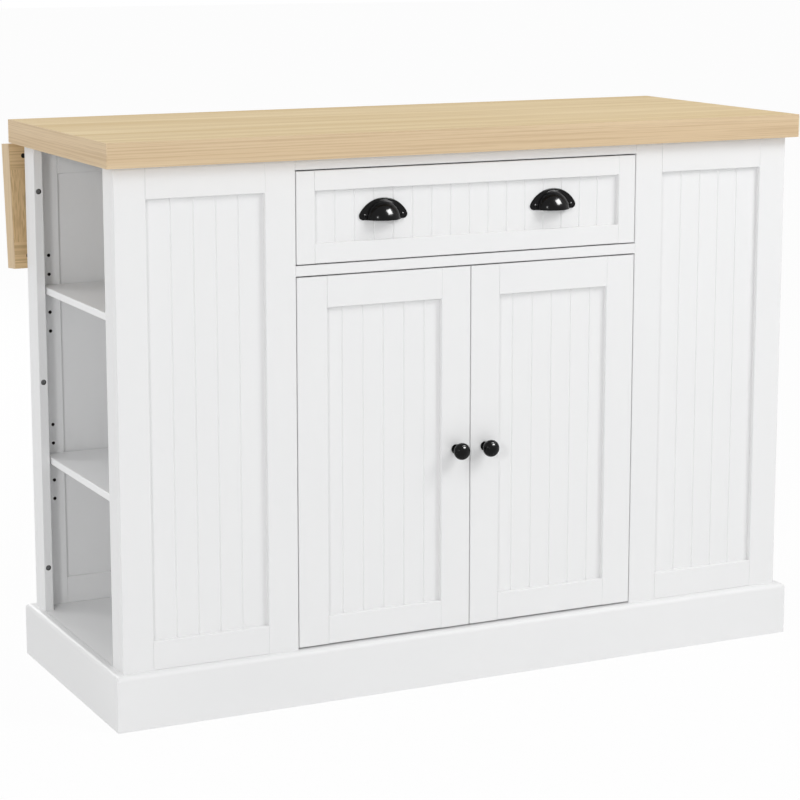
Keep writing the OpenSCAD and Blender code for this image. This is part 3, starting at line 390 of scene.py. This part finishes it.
enamel = Finish("gloss black enamel")
enamel_flow = enamel.noise((1, 1, 1), 45, 2.0)
enamel.surface(
    Base_Color=(0.0022, 0.0022, 0.0024, 1), Roughness=0.12 + 0.08 * enamel_flow,
    Specular_IOR_Level=0.16, Normal=enamel.bump(enamel_flow, 0.00002))

plate_arch = 47.5
plate_tall = 34.5
plate_corner = 7.0
plate_thick = 2.2
dome_foot = 30.3
dome_reach = 22.0
dome_wall = 1.8
bead_wire = 0.9
screw_x = 33.5
screw_head = 2.6
sunk = 0.3
pull_x, pull_y, pull_z = 154, -232.63, 774.5

arch_y = plate_tall - plate_arch
corner_span = plate_arch - plate_corner
corner_x = math.sqrt(corner_span ** 2 - (plate_corner - arch_y) ** 2)
touch = math.degrees(math.atan2(plate_corner - arch_y, corner_x))
dome_ball = (dome_foot ** 2 + dome_reach ** 2) / (2 * dome_reach)
dome_z = plate_thick + dome_reach - dome_ball


def plate_outline(inset):
    """The plate's edge moved in by inset: arch, left corner, foot and right corner."""
    return np.concatenate([
        arc((0, arch_y), plate_arch - inset, touch, 180 - touch, 80),
        arc((-corner_x, plate_corner), plate_corner - inset, 180 - touch, 270, 20)[1:],
        arc((corner_x, plate_corner), plate_corner - inset, -90, touch, 20)])


def plate():
    """The outline carried up the plate's edge and over a quarter round of radius r to its
    face: inset = r (1 - cos t) and z = plate_thick - r + r sin t, for t from 0 to 90
    degrees. The back and the face close on one point each."""
    r = 0.9
    steps = [(0, 0), (0, plate_thick - r)]
    steps += [(r - r * math.cos(t), plate_thick - r + r * math.sin(t))
              for t in np.linspace(0, math.pi / 2, 7)[1:]]
    rings = []
    for inset, height in steps:
        edge = plate_outline(inset)
        edge = np.concatenate([edge, edge[:1]])
        rings.append(np.concatenate([edge, np.full((len(edge), 1), height)], 1))
    back, front = (ring * [0, 0, 1] + [0, 14, 0] for ring in (rings[0], rings[-1]))
    return np.stack([back] + rings + [front])


def dome():
    """Quarter ball shell. On a ball of radius r, x = r cos a, y = lip + k r sin a sin b
    and z = dome_z + r sin a cos b, with k = 1 - lip / dome_foot: a runs from end to end
    of the dome, and b from the open underside to the plate. At each a, a loop runs up the
    outer ball, in through the wall, down the inner ball and round the lip."""
    lip = 0.45
    foot = plate_thick - sunk - dome_z
    side = np.linspace(math.asin(foot / dome_ball), math.pi - math.asin(foot / dome_ball), 97)
    share = np.linspace(0, 1, 33)

    def ball(radius, part):
        most = np.arccos(np.clip(foot / (radius * np.sin(side)), -1, 1))
        up = most[:, None] * part
        x = radius * np.cos(side)[:, None] + 0 * up
        y = lip + radius * np.sin(side)[:, None] * np.sin(up) * (1 - lip / dome_foot)
        z = dome_z + radius * np.sin(side)[:, None] * np.cos(up)
        return np.stack([x, y, z], -1)

    round_lip = np.linspace(math.pi, 0, 9)[1:-1]
    wall = dome_ball - dome_wall / 2 + dome_wall / 2 * np.cos(round_lip)
    edge = np.stack([wall * np.cos(side)[:, None],
                     lip - lip * np.sin(round_lip) + 0 * side[:, None],
                     dome_z + wall * np.sin(side)[:, None]], -1)
    loop = np.concatenate([ball(dome_ball, share), ball(dome_ball - dome_wall, share[::-1]),
                           edge, ball(dome_ball, share[:1])], 1)
    first = loop[:1].mean(1, keepdims=True) + 0 * loop[:1]
    last = loop[-1:].mean(1, keepdims=True) + 0 * loop[-1:]
    return np.concatenate([first, loop, last])


def foot_bead():
    """A wire of round section along the half circle of the dome's foot: for a from 0 to
    180 degrees, (x, y) = (dome_foot + w cos t) (cos a, sin a), z = plate_thick + w sin t."""
    way = np.linspace(0, math.pi, 97)[:, None]
    turn = np.linspace(0, 2 * math.pi, 17)
    turn[-1] = 0
    reach = dome_foot + bead_wire * np.cos(turn)
    wire = np.stack([reach * np.cos(way), reach * np.sin(way),
                     plate_thick + bead_wire * np.sin(turn) + 0 * way], -1)
    ends = [np.array([[[s * dome_foot, 0, plate_thick]]]) + 0 * wire[:1] for s in (1, -1)]
    return np.concatenate([ends[0], wire, ends[1]])


def screw_cap(x):
    """A round head: a short straight side, then radius = crown sin t and height
    = tall - crown + crown cos t, for t from the side to 0 in the middle."""
    crown, tall = 4.6, 1.6
    lean = np.linspace(math.asin(screw_head / crown), 0, 10)
    cap = np.stack([crown * np.sin(lean), tall - crown + crown * np.cos(lean)], 1)
    low = np.array([(0, -sunk), (screw_head, -sunk)])
    return turned(np.concatenate([low, cap]), 40) + [x, plate_corner, plate_thick]


gloss_black = bpy.data.collections.new("gloss black pieces")
for side, x in (("left", -pull_x), ("right", pull_x)):
    pull = skin(f"{side}_cup_pull", outward(
        [plate(), dome(), foot_bead(), screw_cap(-screw_x), screw_cap(screw_x)],
        x, pull_y, pull_z), enamel.material)
    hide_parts(f"{side}_pull")
    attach(pull, "drawer")
    gloss_black.objects.link(pull)


# ---------- Knobs ----------
# Turned knobs under the same enamel: a rounded foot against the door, a waisted neck
# and a ball-like head with one fine ring where the crown begins.

knob_x, knob_y, knob_z = 26.8, -240.63, 391.4


def knob():
    """Profile of (radius, height) for a turned knob, from the door outwards: arcs at the
    foot, the neck, the rim and the crown. The ring is a groove of the form
    exp(-((radius - edge) / width) ** 2) where the crown meets the rim."""
    foot, neck, rim, crown, reach, head = 8.2, 5.0, 9.0, 18.0, 33.0, 14.0
    foot_round, neck_curl, ring_width, ring_sink = 1.2, 1.0, 0.35, (0.25, 0.45)
    crown_z = reach - crown
    rim_z = crown_z + math.sqrt((crown - rim) ** 2 - (head - rim) ** 2)
    meet = math.degrees(math.atan2(rim_z - crown_z, head - rim))
    profile = np.concatenate([
        [(0, 0)],
        arc((foot - foot_round, foot_round), foot_round, -90, 90, 12),
        [(neck + 0.75, 2.6), (neck + 0.35, 4.6), (neck, rim_z / 3),
         (neck, rim_z - rim - neck_curl)],
        arc((neck + neck_curl, rim_z - rim - neck_curl), neck_curl, 180, 100, 6),
        arc((head - rim, rim_z), rim, -78, meet, 40),
        arc((0, crown_z), crown, meet, 90, 24)[1:]])
    edge = crown * math.cos(math.radians(meet))
    ring = np.exp(-((profile[:, 0] - edge) / ring_width) ** 2)
    return profile - ring[:, None] * ring_sink * (profile[:, 1:] > rim_z)


for side, x in (("left", -knob_x), ("right", knob_x)):
    made = skin(f"{side}_door_knob", outward([turned(knob())], x, knob_y, knob_z),
                enamel.material)
    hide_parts(f"{side}_knob")
    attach(made, f"{side}_door")
    gloss_black.objects.link(made)


# ---------- Fittings ----------
# Bright zinc on hinges and stays, plain steel on runners, pins and door cups, dark grey
# steel on the battens' bolts. The bolts in the leaf's ends are blackened.

zinc = Finish("bright zinc plate")
zinc_cloud = zinc.noise((1, 1, 1), 130, 3.0)
zinc.surface(
    Base_Color=zinc.mix(zinc_cloud, (0.58, 0.59, 0.60, 1), (0.70, 0.70, 0.70, 1)),
    Metallic=1.0, Roughness=0.28 + 0.14 * zinc_cloud)
paint(["leaf_hinge_plates", "leaf_hinge_flaps", "stay_brackets", "stay_tracks",
       "left_stay", "right_stay"], zinc.material)

steel = Finish("plain steel")
steel_brush = steel.noise((1, 1, 1), 220, 3.0)
steel.surface(
    Base_Color=steel.mix(steel_brush, (0.50, 0.50, 0.50, 1), (0.62, 0.62, 0.62, 1)),
    Metallic=1.0, Roughness=0.30 + 0.14 * steel_brush)
paint(["shelf_pins", "drawer_runners", "drawer_slides",
       "door_hinge_arms", "leaf_hinge_pins", "leaf_hinge_screws", "left_door_cups",
       "right_door_cups"], steel.material)

dark_steel = Finish("dark grey steel")
dark_steel_cloud = dark_steel.noise((1, 1, 1), 300, 2.0)
dark_steel.surface(
    Base_Color=dark_steel.mix(dark_steel_cloud, (0.20, 0.20, 0.20, 1),
                              (0.30, 0.30, 0.30, 1)),
    Metallic=1.0, Roughness=0.30 + 0.1 * dark_steel_cloud)
paint(["batten_bolts"], dark_steel.material)

leaf_bolt = Finish("steel screws and blackened bolts")
end_bolts_x = 0.58
leaf_bolt_black = abs(leaf_bolt.axes()[0]) > end_bolts_x
leaf_bolt.surface(
    Base_Color=leaf_bolt.mix(leaf_bolt_black, (0.56, 0.56, 0.56, 1),
                             (0.02, 0.018, 0.016, 1)),
    Metallic=1 - 0.6 * leaf_bolt_black, Roughness=0.36 + 0.1 * leaf_bolt_black)
paint(["leaf_screws"], leaf_bolt.material)


# ---------- Floor, light and camera ----------
# A plain white floor under soft light: a large lamp high at the right front, others at
# the left front, the left rear and behind, and beside the first a bright card that only
# the gloss of the black pulls and knobs mirrors.

floor_half = 30
floor_mesh = bpy.data.meshes.new("studio floor")
floor_mesh.from_pydata(
    [(x * floor_half, y * floor_half, 0) for x, y in ((-1, -1), (1, -1), (1, 1), (-1, 1))],
    [], [(0, 1, 2, 3)])
floor = bpy.data.objects.new("studio_floor", floor_mesh)
bpy.context.collection.objects.link(floor)


def seen(finish):
    """1 for camera, glossy and transmission rays, which should find the studio white."""
    rays = [finish.node("ShaderNodeLightPath", out=name)
            for name in ("Is Camera Ray", "Is Glossy Ray", "Is Transmission Ray")]
    return finish.node("ShaderNodeMath", {"operation": "ADD", "use_clamp": True},
                       {0: rays[0] + rays[1], 1: rays[2]})


ground = Finish("white floor")
ground.surface(Base_Color=(0.88, 0.88, 0.88, 1), Roughness=0.9, Specular_IOR_Level=0.1)
glow_share = 0.95
ground_glow = ground.node("ShaderNodeEmission", {}, {"Color": (1, 1, 1, 1), "Strength": 1.0})
ground_mix = ground.node("ShaderNodeMixShader", {},
                         {"Fac": seen(ground) * glow_share,
                          1: Flow(ground, ground.shader.outputs[0]), 2: ground_glow})
ground.put(ground.tree.nodes["Material Output"].inputs["Surface"], ground_mix)
floor_mesh.materials.append(ground.material)

world = bpy.data.worlds.new("studio")
bpy.context.scene.world = world
sky = Finish("studio", world)
sky_plain = sky.node("ShaderNodeBackground", {},
                     {"Color": (0.992, 0.996, 1, 1), "Strength": 0.56})
sky_seen = sky.node("ShaderNodeBackground", {}, {"Color": (1, 1, 1, 1), "Strength": 1.0})
sky_mix = sky.node("ShaderNodeMixShader", {},
                   {"Fac": seen(sky), 1: sky_plain, 2: sky_seen})
sky.put(sky.tree.nodes["World Output"].inputs["Surface"], sky_mix)


def lamp(name, place, aim, size, watts):
    """Square soft lamp at place that faces aim."""
    light = bpy.data.lights.new(name, "AREA")
    light.energy = watts
    light.size = size
    made = bpy.data.objects.new(name, light)
    bpy.context.collection.objects.link(made)
    away = np.array(place, float) - np.array(aim, float)
    made.location = place
    made.rotation_euler = (math.acos(away[2] / np.linalg.norm(away)), 0,
                           math.atan2(away[0], -away[1]))
    return made


lamp("key", (1.9, -2.25, 2.85), (0, 0, 0.5), 1.5, 48)
lamp("left front", (-3.75, -3.95, 1.95), (-0.5, 0, 0.5), 0.7, 50)
lamp("left rear", (-2.55, 1.72, 2.7), (-0.4, 0, 0.4), 0.9, 12)
lamp("rear", (-0.8, 3.9, 1.8), (0, 0, 0.5), 1.4, 36)

card = lamp("card", (1.85, -2.65, 3.1), (0, 0, 0.5), 1.8, 700)
card.visible_diffuse = False
card.light_linking.receiver_collection = gloss_black

bpy.context.scene.view_settings.view_transform = "Standard"
camera_data = bpy.data.cameras.new("camera")
camera_data.lens = 108.59
camera_data.shift_y = -0.06
camera = bpy.data.objects.new("camera", camera_data)
bpy.context.collection.objects.link(camera)
camera.location = (-1.7996, -3.6574, 1.2410)
camera.rotation_euler = (math.pi / 2 - 0.1772, 0, -0.4550)
bpy.context.scene.camera = camera
